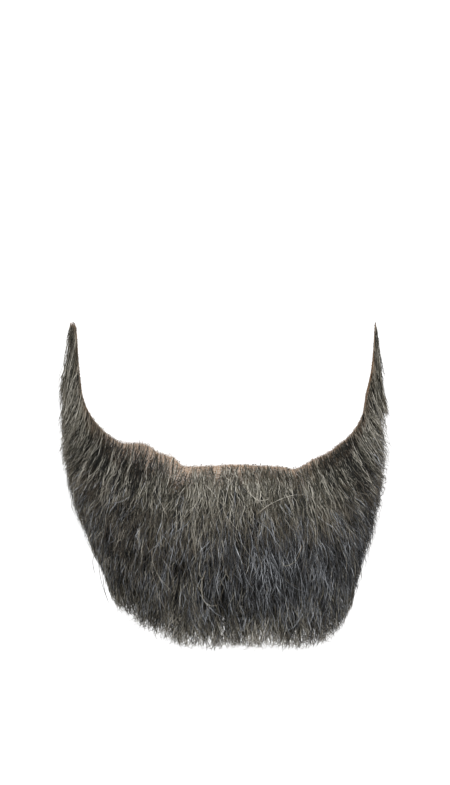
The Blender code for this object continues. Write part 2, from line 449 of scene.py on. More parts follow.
def coatPoint(turn, down, height, lift):
    # down goes from the top edge to the hem, height from the net to the outside
    placeOnNet = coat["firstRoots"] + (coat["lastRoots"] - coat["firstRoots"]) * down / coat["netShare"]
    onNet = netSection(turn, np.minimum(placeOnNet, coat["lastRoots"]), coat["netDepth"])
    leaving = netSection(turn, np.full_like(turn, coat["lastRoots"]), coat["netDepth"])
    hem, hang = section("hem", turn), section("hang", turn)
    zero = np.zeros_like(lift)
    middle = hang + np.stack([zero, coat["hangTrim"] * lift], axis=-1)
    tip = hem + np.stack([zero - coat["tip"], lift], axis=-1)
    free = (down - coat["netShare"]) / (1 - coat["netShare"])
    hanging = curveAt(np.stack([leaving, middle, tip]), 2 * np.maximum(free, 0))
    inside = np.where((free < 0)[:, None], onNet, hanging)
    start = netSection(turn, np.full_like(turn, coat["firstRoots"]), coat["netDepth"] + coat["edge"])
    fall = section("fall", turn) + np.stack([zero, coat["fallTrim"] * lift], axis=-1)
    outerPoints = np.stack([start, section("belly", turn), fall, hem + np.stack([zero, lift], axis=-1)])
    outside = curveAt(outerPoints, 3 * down)
    return world(turn, inside + height[:, None] * (outside - inside))


# The lace

lace = {
    "columns": 110,  # of the film's own grid
    "rows": 34,
    "pitch": 2.0,  # from one hole of the net to the next
    "places": 3.0,  # how many the net's sections have from the top edge to the neck
    "mapMargin": 0.002,
    "thread": 0.09,  # a thread's radius
    "threadSides": 3,
    "overlap": 0.05,  # how far a thread reaches into a corner
    "middle": (0.0, axisBehindChin * mm, 0.03),  # of the jaw
    "knotShare": 0.5,  # the share of the net's corners with a knot of hair
    "knot": 0.32,  # its radius
    "knotSizes": (0.7, 1.2),  # what that is multiplied by from knot to knot
    "knotShape": (0.8, 1.0, 1.2),  # outwards, sideways and up
}
threadColours = {
    "light": (0.27, 0.16, 0.09),
    "dark": (0.1485, 0.088, 0.0495),
    "faded": (0.36, 0.24, 0.15),
    "darkShare": 0.8,
    "fadedShare": 0.5,
    "fine": 420.0,
    "broad": 38.0,
}
knotColours = {"dark": (0.02, 0.015, 0.012), "light": (0.11, 0.07, 0.045), "fine": 300.0}
tulle = {
    "light": (0.32, 0.205, 0.115),
    "dark": (0.20, 0.122, 0.066),
    "broad": 30.0,
    "cells": 330.0,
    "unevenCells": 0.3,
    "wire": 0.14,  # how wide the threads between its cells are
    "holes": 0.36,  # how much of the light it stops between them
    "wires": 0.50,  # how much more they stop
    "dense": 0.38,  # how much more it stops near the top edge and in the cup, between its threads
    "denseWires": 0.28,  # and how much less its threads add there
    "topEnds": 0.36,
    "cupStarts": 0.40,
    "bottom": 0.16,  # how much more it stops below the jaw
    "bottomStarts": 0.50,
    "rates": {"top": 6.0, "cup": 5.0, "bottom": 6.0, "edge": 55.0},  # how fast each of these changes
    "frayed": 0.9,
}


def laceFilm():
    # a flat grid whose points are moved to their places on the jaw, then unwrapped to find its flat cut
    bpy.ops.object.select_all(action="DESELECT")
    bpy.ops.mesh.primitive_grid_add(x_subdivisions=lace["columns"], y_subdivisions=lace["rows"], size=2)
    piece = bpy.context.object
    piece.name = "lace_film"
    flat = pointsOf(piece)
    onJaw = netPoint(flat[:, 0] * lastTurn, lace["places"] * (1 - flat[:, 1]) / 2, coat["netDepth"])
    piece.data.vertices.foreach_set("co", onJaw.ravel())
    piece.data.uv_layers[0].name = "grid"
    piece.data.uv_layers.new(name="OFBake")
    piece.data.uv_layers.active = piece.data.uv_layers["OFBake"]
    piece.data.uv_layers["OFBake"].active_render = True
    bpy.ops.object.mode_set(mode="EDIT")
    bpy.ops.mesh.select_all(action="SELECT")
    bpy.ops.uv.unwrap(method="CONFORMAL", margin=lace["mapMargin"])
    bpy.ops.object.mode_set(mode="OBJECT")
    bpy.ops.object.shade_smooth()
    return piece


def pointsOf(piece):
    found = np.zeros(3 * len(piece.data.vertices))
    piece.data.vertices.foreach_get("co", found)
    return found.reshape(-1, 3)


def flatCut(film):
    # the film's points on its flat cut, in metres, one for each corner of a face
    mesh = film.data
    cut = np.zeros(2 * len(mesh.loops))
    mesh.uv_layers["OFBake"].data.foreach_get("uv", cut)
    cut = cut.reshape(-1, 2)
    corners = np.zeros(len(mesh.loops), int)
    mesh.loops.foreach_get("vertex_index", corners)
    onCut = np.zeros((len(mesh.vertices), 2))
    onCut[corners] = cut
    faces = corners.reshape(-1, 4)
    real = areaOf(pointsOf(film)[faces]).sum()
    drawn = areaOf(np.pad(onCut, ((0, 0), (0, 1)))[faces]).sum()
    return onCut * math.sqrt(real / drawn), faces, real


def areaOf(quads):
    across, down = quads[:, 2] - quads[:, 0], quads[:, 3] - quads[:, 1]
    return np.linalg.norm(np.cross(across, down), axis=-1) / 2


class Cut:
    # finds the place on the jaw of a point on the flat cut
    def __init__(self, film):
        self.onCut, faces, self.area = flatCut(film)
        self.triangles = np.concatenate([faces[:, [0, 1, 2]], faces[:, [0, 2, 3]]])
        self.onJaw = pointsOf(film)
        flat = [Vector((x, y, 0)) for x, y in self.onCut]
        self.tree = BVHTree.FromPolygons(flat, self.triangles.tolist())
        self.low, self.high = self.onCut.min(0), self.onCut.max(0)

    def find(self, x, y):
        _, _, face, _ = self.tree.ray_cast(Vector((x, y, 1)), Vector((0, 0, -1)))
        if face is None:
            return None
        t = self.triangles[face]
        (ax, ay), (bx, by), (cx, cy) = self.onCut[t]
        whole = (bx - ax) * (cy - ay) - (cx - ax) * (by - ay)
        b = ((x - ax) * (cy - ay) - (cx - ax) * (y - ay)) / whole
        c = ((bx - ax) * (y - ay) - (x - ax) * (by - ay)) / whole
        return self.onJaw[t[0]] * (1 - b - c) + self.onJaw[t[1]] * b + self.onJaw[t[2]] * c


def laceNet(cut):
    # a honeycomb on the flat cut: each corner of one kind has three threads to corners of the other
    pitch = lace["pitch"] * mm
    side = pitch / math.sqrt(3)
    corners = {}
    for j in range(int((cut.high[1] - cut.low[1]) / (1.5 * side)) + 2):
        for i in range(-j // 2 - 1, int((cut.high[0] - cut.low[0]) / pitch) + 2):
            x, y = cut.low[0] + pitch * (i + j / 2), cut.low[1] + 1.5 * side * j
            for kind in (0, 1):
                place = cut.find(x, y + kind * side)
                if place is not None:
                    corners[i, j, kind] = place
    threads = []
    for (i, j, kind), place in corners.items():
        if kind == 0:
            for other in ((i, j, 1), (i + 1, j - 1, 1), (i, j - 1, 1)):
                if other in corners:
                    threads.append((place, corners[other]))
    return np.array(threads), np.array(list(corners.values()))


def outwardAt(points):
    # away from the middle of the jaw, near enough for the side of a thread
    return unit(points - np.array(lace["middle"]))


def laceThreads(threads):
    start, end = threads[:, 0], threads[:, 1]
    along = unit(end - start)
    side = unit(np.cross(along, outwardAt((start + end) / 2)))
    front = np.cross(side, along)
    points = []
    radius, overlap, sides = lace["thread"] * mm, lace["overlap"] * mm, lace["threadSides"]
    for point in (start - overlap * along, end + overlap * along):
        for k in range(sides):
            angle = 2 * math.pi * k / sides + math.pi / 2
            points.append(point + radius * (math.cos(angle) * side + math.sin(angle) * front))
    points = np.stack(points, axis=1).reshape(-1, 3)
    faces = []
    for first in range(0, len(points), 2 * sides):
        for k in range(sides):
            here, beside = first + k, first + (k + 1) % sides
            faces.append([here, here + sides, beside + sides, beside])
    return joined("lace_threads", points, faces)


def laceKnots(corners):
    # a bead of hair round the corners that carry a lock
    chosen = corners[dice.uniform(0, 1, len(corners)) < lace["knotShare"]]
    away = outwardAt(chosen)
    side = unit(np.cross(away, np.array([0, 0, 1.0])))
    up = np.cross(side, away)
    size = lace["knot"] * mm * dice.uniform(*lace["knotSizes"], (len(chosen), 1))
    away, side, up = (shape * line for shape, line in zip(lace["knotShape"], (away, side, up)))
    spokes = [away, side, up, -side, -up, -away]
    points = np.stack([chosen + size * spoke for spoke in spokes], axis=1).reshape(-1, 3)
    faces = []
    for first in range(0, len(points), 6):
        for k in range(4):
            here, after = first + 1 + k, first + 1 + (k + 1) % 4
            faces += [[first, here, after], [first + 5, after, here]]
    return joined("lace_knots", points, faces)


def joined(name, points, faces):
    mesh = bpy.data.meshes.new(name)
    mesh.from_pydata(points, [], faces)
    mesh.update()
    piece = placed(name, mesh)
    onlySelect(piece)
    turnOutwards()
    return piece


def threadPaint():
    paint = Paint("laceThread", Roughness=0.62, Specular_IOR_Level=0.3)
    spot = paint.node("TexCoord", {}, out=3)
    uneven = paint.node("TexNoise", {}, Vector=spot, Scale=threadColours["fine"], Detail=3.0)
    dyed = paint.node("TexNoise", {}, Vector=spot, Scale=threadColours["broad"], Detail=2.0)
    darker = uneven * threadColours["darkShare"]
    colour = paint.mix(darker, threadColours["light"], threadColours["dark"])
    faded = dyed * threadColours["fadedShare"]
    paint.set("Base Color", paint.mix(faded, colour, threadColours["faded"]))
    return paint.material


def knotPaint():
    paint = Paint("hairKnot", Roughness=0.6)
    spot = paint.node("TexCoord", {}, out=3)
    uneven = paint.node("TexNoise", {}, Vector=spot, Scale=knotColours["fine"], Detail=2.0)
    paint.set("Base Color", paint.mix(uneven, knotColours["dark"], knotColours["light"]))
    return paint.material


def filmPaint():
    # a tulle too fine to model, between the threads
    paint = Paint("laceTulle", Roughness=0.7, Specular_IOR_Level=0.2)
    own = paint.node("UVMap", {"uv_map": "OFBake"})
    size = {"Scale": tulle["cells"], "Randomness": tulle["unevenCells"]}
    cells = paint.node("TexVoronoi", {"feature": "DISTANCE_TO_EDGE"}, Vector=own, **size)
    wire = cells.lessThan(tulle["wire"])
    uneven = paint.node("TexNoise", {}, Vector=own, Scale=tulle["broad"], Detail=3.0)
    paint.set("Base Color", paint.mix(uneven, tulle["light"], tulle["dark"]))
    # down goes from 0 at the top edge to 1 at the neck, and the very edge is frayed
    down = 1 - paint.ownMap("grid")[1]
    rates = tulle["rates"]
    top = ((tulle["topEnds"] - down) * rates["top"]).most(0.0)
    cup = ((down - tulle["cupStarts"]) * rates["cup"]).most(0.0)
    dense = (top + cup).least(1.0)
    bottom = ((down - tulle["bottomStarts"]) * rates["bottom"]).most(0.0).least(1.0)
    edge = (down * rates["edge"] - uneven * tulle["frayed"]).most(0.0).least(1.0)
    weave = tulle["holes"] + dense * tulle["dense"] + bottom * tulle["bottom"]
    weave = weave + wire * (tulle["wires"] - dense * tulle["denseWires"])
    paint.set("Alpha", weave * edge)
    return paint.material


def makeLace():
    film = laceFilm()
    cut = Cut(film)
    threads, corners = laceNet(cut)
    net = laceThreads(threads)
    knots = laceKnots(corners)
    film.data.materials.append(filmPaint())
    net.data.materials.append(threadPaint())
    knots.data.materials.append(knotPaint())
    for piece, slotName in ((film, "lace_net"), (net, "lace_net"), (knots, "grey_hair")):
        fitted(piece, "lace_backing")
    size = cut.high - cut.low
    print("lace", len(threads), "threads", len(knots.data.polygons) // 8, "knots")
    print("its flat cut", [round(float(v), 4) for v in size], "area", round(float(cut.area), 5))


makeLace()


# The dense hair inside the coat, which the strands grow out of

mass = {
    "cuts": (59, 3),  # lengthwise, once and again
    "ring": 24,
    "turn": 113.2,  # where it ends on both sides
    "top": 0.16,  # where it starts, as a share of the way from the top edge to the hem
    "topWaves": ((0.10, 2.6, 15), (0.06, 1.0, 16)),  # the size, cell in degrees and seed of each
    "bareShare": 0.8,  # how much of the zone of bare net is added to that
    "sideburnTop": -0.08,
    "sideburnTurns": (92.0, 102.0),
    "bottom": 0.93,
    "bottomWaves": ((0.05, 2.2, 5), (0.03, 0.9, 6)),
    "middle": 0.36,  # its place between the net and the outside of the coat
    "half": 0.22,  # half its thickness there
    "locks": ((0.16, 3.1, 7),),
    "lockLean": 4.0,  # degrees
    "fineLocks": ((0.08, 1.1, 8),),
    "thinner": 0.6,  # at the jaw's corners, above the next place
    "thinnerEnds": 0.4,
    "streaks": (1100.0, 1100.0, 90.0),
    "paleAbove": 0.42,
    "paleRate": 3.4,
    # its darkest is below any hair's colour: dark hair, and painted shade of the deep gaps between the
    # strands
    "dark": (0.003, 0.003, 0.003),
    "light": (0.060, 0.059, 0.052),
    "bump": {"Strength": 0.7, "Distance": 0.0006},
}
# where the cheek turns up into the sideburn, and the width of that bend
jawCorner = (93.0, 13.0)

# how wide the zone of bare net is along the top edge, as a share of the coat
bareZone = (
    (-114.0, 0.0),
    (-95.0, 0.01),
    (-82.0, 0.035),
    (-73.0, 0.065),
    (-64.0, 0.085),
    (-54.0, 0.10),
    (-45.0, 0.105),
    (-36.0, 0.11),
    (-27.0, 0.125),
    (-16.0, 0.075),
    (0.0, 0.045),
    (20.0, 0.05),
    (27.0, 0.06),
    (38.0, 0.05),
    (60.0, 0.03),
    (95.0, 0.01),
    (114.0, 0.0),
)
bare = Column(*zip(*bareZone))

# where the hair of the hem falls open
partings = ({"turn": -7.3, "strength": 1.0}, {"turn": 28.0, "strength": 0.6})
partingShape = {"inMass": 0.08, "widthInMass": 1.6, "aside": 1.4, "width": 3.0, "opens": (0.74, 1.0)}


def slowNoise(places, cell, seed):
    # a smooth random line from 0 to 1 along the coat
    count = 400
    knots = np.random.default_rng(seed).uniform(0, 1, count)
    at = places / cell + count / 2
    i = np.floor(at).astype(int)
    share = at - i
    share = share * share * (3 - 2 * share)
    return knots[i] * (1 - share) + knots[i + 1] * share


def wavesAt(places, waves):
    # the sum of some random lines round 0, each with its size, cell and seed
    return sum(size * (slowNoise(places, cell, seed) - 0.5) for size, cell, seed in waves)


def cornerAt(turn):
    return hump(np.abs(turn), *jawCorner)


def hairMass():
    bpy.ops.object.select_all(action="DESELECT")
    lying = (0, math.radians(90), 0)
    bpy.ops.mesh.primitive_cylinder_add(vertices=mass["ring"], radius=1, depth=2, rotation=lying)
    piece = bpy.context.object
    piece.name = "hair_mass"
    bpy.ops.object.transform_apply(rotation=True)
    for cuts in mass["cuts"]:
        bpy.ops.object.mode_set(mode="EDIT")
        bpy.ops.mesh.select_mode(type="EDGE")
        bpy.ops.mesh.select_all(action="DESELECT")
        bpy.ops.object.mode_set(mode="OBJECT")
        points = pointsOf(piece)
        for edge in piece.data.edges:
            one, two = edge.vertices
            edge.select = bool(abs(points[one, 0] - points[two, 0]) > 0.001)
        bpy.ops.object.mode_set(mode="EDIT")
        bpy.ops.mesh.subdivide(number_cuts=cuts)
        bpy.ops.object.mode_set(mode="OBJECT")
    flat = pointsOf(piece)
    turn = flat[:, 0] * mass["turn"]
    top = mass["top"] + wavesAt(turn, mass["topWaves"]) + mass["bareShare"] * bare.at(turn)
    top = top + mass["sideburnTop"] * ramp(np.abs(turn), *mass["sideburnTurns"])
    bottom = mass["bottom"] + wavesAt(turn, mass["bottomWaves"])
    for part in partings:
        opened = partingShape["inMass"] * part["strength"]
        bottom = bottom - opened * hump(turn, part["turn"], partingShape["widthInMass"])
    middle, half = (top + bottom) / 2, (bottom - top) / 2
    down = middle - flat[:, 2] * half
    locks = wavesAt(turn + mass["lockLean"] * down, mass["locks"]) + wavesAt(turn, mass["fineLocks"])
    height = mass["middle"] + flat[:, 1] * (mass["half"] + locks)
    height = height * (1 - mass["thinner"] * cornerAt(turn) * ramp(down, mass["thinnerEnds"], 0))
    onJaw = coatPoint(turn, down, height, trim.at(turn))
    piece.data.vertices.foreach_set("co", onJaw.ravel())
    piece.data.uv_layers[0].name = "OFBake"
    turnOutwards()
    bpy.ops.object.shade_smooth()
    return piece


def massPaint():
    paint = Paint("hairMass", Roughness=0.7, Specular_IOR_Level=0.15)
    spot = paint.node("TexCoord", {}, out=3)
    stretched = paint.node("Mapping", {}, spot, Scale=mass["streaks"])
    streaks = paint.node("TexNoise", {}, Vector=stretched, Scale=1.0, Detail=4.0)
    pale = ((streaks - mass["paleAbove"]) * mass["paleRate"]).most(0.0).least(1.0)
    # the dark of the mass is partly painted shade of the deep inside of the coat
    paint.set("Base Color", paint.mix(pale, mass["dark"], mass["light"]))
    paint.set("Normal", paint.node("Bump", {}, Height=streaks, **mass["bump"]))
    return paint.material


def makeMass():
    piece = hairMass()
    piece.data.materials.append(massPaint())
    fitted(piece, "hair_chin")
    print("hair mass", len(piece.data.polygons), "faces")


makeMass()


# Hair

tube = {
    "sides": 3,
    "mapWidth": 0.006,  # of one hair on the map, whose place across tells its tone
    "mapStart": (0.004, 0.01),
    "mapShare": 0.98,
}


def tubes(name, parts, solid):
    # each hair is a closed tube that ends in a point
    points, loops, sizes, ownMap = [], [], [], []
    first = 0
    for paths, radii, tones in parts:
        some = tubesOf(paths, radii, tones)
        points.append(some[0])
        loops.append(some[1] + first)
        sizes.append(some[2])
        ownMap.append(some[3])
        first += len(some[0])
    points, loops, sizes, ownMap = (np.concatenate(a) for a in (points, loops, sizes, ownMap))
    mesh = bpy.data.meshes.new(name)
    mesh.vertices.add(len(points))
    mesh.vertices.foreach_set("co", points.ravel())
    mesh.loops.add(len(loops))
    mesh.loops.foreach_set("vertex_index", loops)
    mesh.polygons.add(len(sizes))
    mesh.polygons.foreach_set("loop_start", np.concatenate([[0], np.cumsum(sizes)[:-1]]))
    mesh.update(calc_edges=True)
    mesh.uv_layers.new(name="OFBake").data.foreach_set("uv", ownMap.ravel())
    mesh.validate()
    mesh.shade_smooth()
    mesh.materials.append(greyHair)
    fitted(placed(name, mesh), solid)
    print(name, len(sizes), "faces", int((sizes - 2).sum()), "triangles")


def tubesOf(paths, radii, tones):
    count, steps = paths.shape[:2]
    along = unit(np.gradient(paths, axis=1))
    outwards = paths[:, :1] * np.array([1, 1, 0]) - np.array([0, axisBehindChin * mm, 0])
    side = unit(np.cross(along, outwards + 1e-6))
    front = np.cross(side, along)
    start = dice.uniform(0, 2 * math.pi, (count, 1, 1))
    rings = []
    sides, width = tube["sides"], tube["mapWidth"]
    for k in range(sides):
        angle = start + 2 * math.pi * k / sides
        rings.append(paths + radii[..., None] * (np.cos(angle) * side + np.sin(angle) * front))
    rings = np.stack(rings, axis=2)[:, :-1].reshape(count, -1, 3)
    points = np.concatenate([rings, paths[:, -1:]], axis=1)
    perHair = points.shape[1]
    corners, uses, mapU, mapV = [], [], [], []
    rows = steps - 1
    for r in range(rows):
        for k in range(sides):
            here, beside = sides * r + k, sides * r + (k + 1) % sides
            left, right = k * width / sides, (k + 1) * width / sides
            top, bottom = r / rows, (r + 1) / rows
            if r < rows - 1:
                corners += [here, beside, beside + sides, here + sides]
                uses.append(4)
                mapU += [left, right, right, left]
                mapV += [top, top, bottom, bottom]
            else:
                corners += [here, beside, perHair - 1]
                uses.append(3)
                mapU += [left, right, (left + right) / 2]
                mapV += [top, top, bottom]
    # the face that closes it at the root
    corners += reversed(range(sides))
    uses.append(sides)
    mapU += [width * k / (sides - 1) for k in range(sides)]
    mapV += [0.01 * (k % 2) for k in range(sides)]
    loops = (np.arange(count)[:, None] * perHair + np.array(corners)).ravel()
    u = tube["mapStart"][0] + tube["mapShare"] * tones[:, None] + np.array(mapU)
    v = np.broadcast_to(tube["mapStart"][1] + tube["mapShare"] * np.array(mapV), u.shape)
    return points.reshape(-1, 3), loops, np.tile(uses, count), np.stack([u, v], axis=-1).reshape(-1, 2)


greys = {
    # warm ones in the first half and cool ones in the second, each from black to silver
    "stops": (
        (0.0, (0.0055, 0.0055, 0.0045)),
        (0.12, (0.0155, 0.0152, 0.0115)),
        (0.22, (0.038, 0.0368, 0.027)),
        (0.31, (0.087, 0.081, 0.059)),
        (0.39, (0.175, 0.159, 0.118)),
        (0.44, (0.31, 0.292, 0.245)),
        (0.495, (0.58, 0.55, 0.48)),
        (0.505, (0.0055, 0.0055, 0.006)),
        (0.62, (0.016, 0.016, 0.0165)),
        (0.72, (0.038, 0.039, 0.042)),
        (0.81, (0.088, 0.091, 0.099)),
        (0.89, (0.17, 0.178, 0.195)),
        (0.94, (0.33, 0.345, 0.37)),
        (1.0, (0.62, 0.64, 0.67)),
    ),
    "warmEnds": 0.5,
    "spread": 0.49,  # of the warm greys, and of the cool ones
    "coolStarts": 0.51,
    "paintedShadeNoise": (170.0, 7.0, 1.0),  # the noise of the painted shade along the hair, across the tones and along the hair
    # stretches of hair darkened at random: painted shade where a hair dips out of the light, and partly its
    # own uneven tone
    "paintedShade": (0.0135, 0.0135, 0.012),
    "paintedShadeBelow": 0.56,
    "paintedShadeRate": 3.2,
    "paintedShadeShare": 0.6,  # at most
    "root": (0.19, 0.13, 0.085),
    "rootRate": 4.5,
    "rootShare": 0.70,
    "tipStarts": 0.74,
    "tipRate": 2.4,
    "tipShare": 0.55,
    "coolTip": (0.19, 0.197, 0.208),
    "warmTip": (0.24, 0.19, 0.14),
}


def hairPaint():
    paint = Paint("greyHair", Roughness=0.5, Specular_IOR_Level=0.2)
    tone, along = paint.ownMap("OFBake")
    shades = paint.node("ValToRGB", {"stops": greys["stops"]}, tone)
    place = paint.node("UVMap", {"uv_map": "OFBake"})
    stretched = paint.node("Mapping", {}, place, Scale=greys["paintedShadeNoise"])
    uneven = paint.node("TexNoise", {}, Vector=stretched, Scale=1.0, Detail=1.0)
    # random stretches of each hair are darkened: painted shade where it dips out of the light, partly
    # uneven tone
    paintedShade = ((greys["paintedShadeBelow"] - uneven) * greys["paintedShadeRate"]).most(0.0).least(greys["paintedShadeShare"])
    withPaintedShade = paint.mix(paintedShade, shades, greys["paintedShade"])
    # the warm ones have brown roots, and all have paler tips, the warm ones' browner
    warm = tone.lessThan(greys["warmEnds"])
    brown = (1 - along * greys["rootRate"]).most(0.0) * warm * greys["rootShare"]
    rootShade = paint.mix(brown, withPaintedShade, greys["root"])
    tipShare = ((along - greys["tipStarts"]).most(0.0) * greys["tipRate"]).least(greys["tipShare"])
    tipColour = paint.mix(warm, greys["coolTip"], greys["warmTip"])
    paint.set("Base Color", paint.mix(tipShare, rootShade, tipColour))
    return paint.material


greyHair = hairPaint()
# counts are of the locks of each kind of hair, silver is a share, and where the crowding is above 1
# the long hair's roots crowd towards the top edge
sideburnHair = {"counts": (82, 150, 16, 50), "silver": 0.42, "crowding": 1.6}
jawHair = {"counts": (115, 295, 66, 60), "silver": 0.28, "crowding": 2.0}
chinHair = {"counts": (118, 252, 102, 60), "silver": 0.25, "crowding": 1.8}
regions = {
    "strands_sideburn_right": {"turns": (-113.6, -83.0), **sideburnHair},
    "strands_jaw_right": {"turns": (-83.0, -30.2), **jawHair},
    "strands_chin": {"turns": (-30.2, 30.2), **chinHair},
    "strands_jaw_left": {"turns": (30.2, 83.0), **jawHair},
    "strands_sideburn_left": {"turns": (83.0, 113.6), **sideburnHair},
}
hair = {
    "radius": 0.145,
    "radii": (0.7, 1.15),  # what that is multiplied by from hair to hair
    "silverRadius": 1.15,  # how much thicker the silver ones are
    "taper": (0.85, 1.0, 1.0, 0.95, 0.85, 0.65, 0.0),  # from the root to the tip
    "coatLength": 94.0,
    "lengths": (0.8, 1.1),  # what a lock's length is multiplied by
    "ownLength": 0.06,  # how far each hair differs from that, as with all values named own
    "longer": 0.55,  # at the jaw's corners, for roots above the next place
    "longerRoots": 0.45,
    "tops": (0.80, 1.0),  # how high the tips stand, where 1 is the outside of the coat
    "ownTop": 0.05,
    "strayTop": 0.06,
    "deepShare": 0.2,  # of hairs that stay lower
    "deep": (0.5, 0.9),
    "lift": (-0.8, 2.4),  # how much higher a lock's hem is
    "ownLift": 1.1,
    "strayBend": 2.4,
    "straighter": 0.35,  # on the jaws
    "straighterTurns": (38.0, 53.0),
    "waveLengths": (12, 22),  # sideways
    "ownPhase": 0.7,
    "weaveLengths": (13, 26),  # in and out
    "hooked": 0.5,  # the share with a curled tip
    "keptOut": (0.4, 0.8),  # the least and the largest share of roots that the bare zone pushes down
    "keptOutRise": 4.0,
    "edgeZone": 0.01,
    "frostedLocks": 0.25,  # the share of the locks that have most of the silver hairs
    "frosted": 2.7,  # what their share of silver is multiplied by
    "plain": 0.5,  # and that of the others
    "ownPale": 0.09,
    "clumpHeight": 0.22,
    # how much darker sunken bands and paler full bands are painted: painted shade and light on top of their
    # real height
    "paintedClumpShade": 0.40,
}
# full and sunken bands along the flow of the hair: seeds, and cells in degrees or in shares of the way down
clumps = {
    "narrow": {"cell": 2.9, "seed": 21, "share": 0.7},
    "wide": {"cell": 8.0, "seed": 23},
    "wander": {"cell": 0.21, "seed": 22, "degrees": 7.0},
}
# how far the hair is combed round the jaw on its way down, in degrees
combing = (
    (-114.0, 0.0),
    (-60.0, 0.0),
    (5.0, 1.5),
    (60.0, 11.0),
    (114.0, 11.0),
)
combed = Column(*zip(*combing))
longHair = {
    "steps": 11,
    "inLock": 10,
    "roots": (0.0, 0.46),  # from the top edge to a little below where the front hair leaves the net
    "start": 0.0,  # on the net
    "length": 0.42,  # as a share of the way from the top edge to the hem
    "spreadTurn": 1.2,
    "spreadDown": 0.02,
    "gather": 0.35,  # how far the hairs of a lock come together at its tip
    "bend": 1.8,
    "ownBend": 1.8,
    "wave": 0.65,  # millimetres
    "weave": 0.07,
    "kink": 0.30,
    "hook": 2.0,  # degrees that the curled tips turn aside
    "stray": 0.07,
    "pale": 0.0,
    "silver": True,
}
shortHair = {
    **longHair,
    "steps": 7,
    "roots": (0.04, 0.82),
    "start": 0.5,  # in the mass
    "length": 0.24,
    "spreadTurn": 1.0,
    "spreadDown": 0.03,
    "gather": 0.4,
    "bend": 2.0,
    "ownBend": 2.4,
    "wave": 0.6,
    "weave": 0.06,
    "hook": 2.5,
    "stray": 0.10,
}
hemHair = {
    **shortHair,
    "roots": (0.70, 0.93),
    "start": 0.4,
    "spreadDown": 0.02,
    "gather": 0.2,
    "bend": 1.6,
    "ownBend": 2.6,
    "kink": 0.38,
    "hook": 4.0,
    "stray": 0.05,
    "pale": 0.48,
}
edgeHair = {
    "steps": 5,
    "inLock": 4,
    "roots": (0.0, 0.05),
    "start": 0.0,
    "length": 0.075,
    "spreadTurn": 0.5,
    "spreadDown": 0.016,
    "gather": 0.0,
    "bend": 1.2,
    "ownBend": 1.2,
    "wave": 0.3,
    "weave": 0.02,
    "kink": 0.22,
    "hook": 1.0,
    "stray": 0.0,
    "pale": -0.05,
    "silver": False,
}
# how the paths run: a pair is a ramp from its first value to its second, in degrees or in shares
# of the way down or out
flow = {
    "lastRoot": 113.7,
    "calmRoot": (0, 0.25),  # shares of a hair's own length: where its weave grows
    "straightRoot": (0, 1 / 3),  # where its bends grow, so that it doesn't come through the net
    "bendPower": 1.5,
    "hookPower": 5,
    "calmTurns": (98.0, 82.0),  # hair keeps to its line where the jaw turns up into the sideburn
    "calmest": 0.06,
    "freeTurns": (105.0, 113.0),
    "freest": 0.4,
    "gathered": 5.0,  # degrees towards the chin where the coat swells
    "swell": 15.0,
    "swellEnds": 112.0,
    "steep": 0.6,  # hair leaves the net steeply at the chin and lies flatter on the sideburns
    "flatter": 0.5,
    "flatterTurns": (65.0, 90.0),
    "inMass": 0.5,  # at the jaw's corners it starts in the mass, so that it falls along the outside
    "inMassTurns": (52.0, 70.0),
    "inMassEnds": (108.0, 100.0),
    "inMassRoots": 0.3,
    "held": 0.4,  # no hair reaches the outside soon after it leaves the net
    "heldLess": 0.2,
    "heldLessTurns": (98.0, 106.0),
    "heldMore": 0.5,
    "heldEnds": 0.55,
    "uneven": 0.02,
    "highest": 1.04,
    "direct": 0.25,  # near the top edge hair goes straight to its tip and lets the coat swell under it
    "directMore": 0.6,
    "directTurns": (50.0, 85.0),
    "directRoots": (0.42, 0.12),
}


def calmAt(turn):
    size = np.abs(turn)
    calm = np.maximum(ramp(size, *flow["calmTurns"]), flow["calmest"])
    return calm + np.minimum(ramp(size, *flow["freeTurns"]), flow["freest"])


def within(turn, limit):
    # a turn past the end of the coat is folded back
    over = np.maximum(np.abs(turn) - limit, 0)
    return turn - 2 * np.sign(turn) * over


def swellAt(turn):
    return np.sin(math.pi * np.minimum(np.abs(turn) / flow["swellEnds"], 1)) ** 2


def acrossOf(points):
    return np.hypot(points[..., 0], points[..., 1] - axisBehindChin * mm)


def clumpAt(turn, down):
    # from -0.5 where the hair is sunken, and painted darker as shade, to 0.5 where it is full, and painted
    # paler as light
    narrow, wide, wander = clumps["narrow"], clumps["wide"], clumps["wander"]
    along = turn - combed.at(turn) * down
    moved = along + wander["degrees"] * slowNoise(down, wander["cell"], wander["seed"])
    bands = narrow["share"] * slowNoise(moved, narrow["cell"], narrow["seed"])
    return bands + (1 - narrow["share"]) * slowNoise(along, wide["cell"], wide["seed"]) - 0.5


def spreadTurns(turns, count):
    # a turn for each lock, anywhere in its own share of the whole
    first, last = turns
    return first + (last - first) * (np.arange(count) + dice.uniform(0, 1, count)) / count


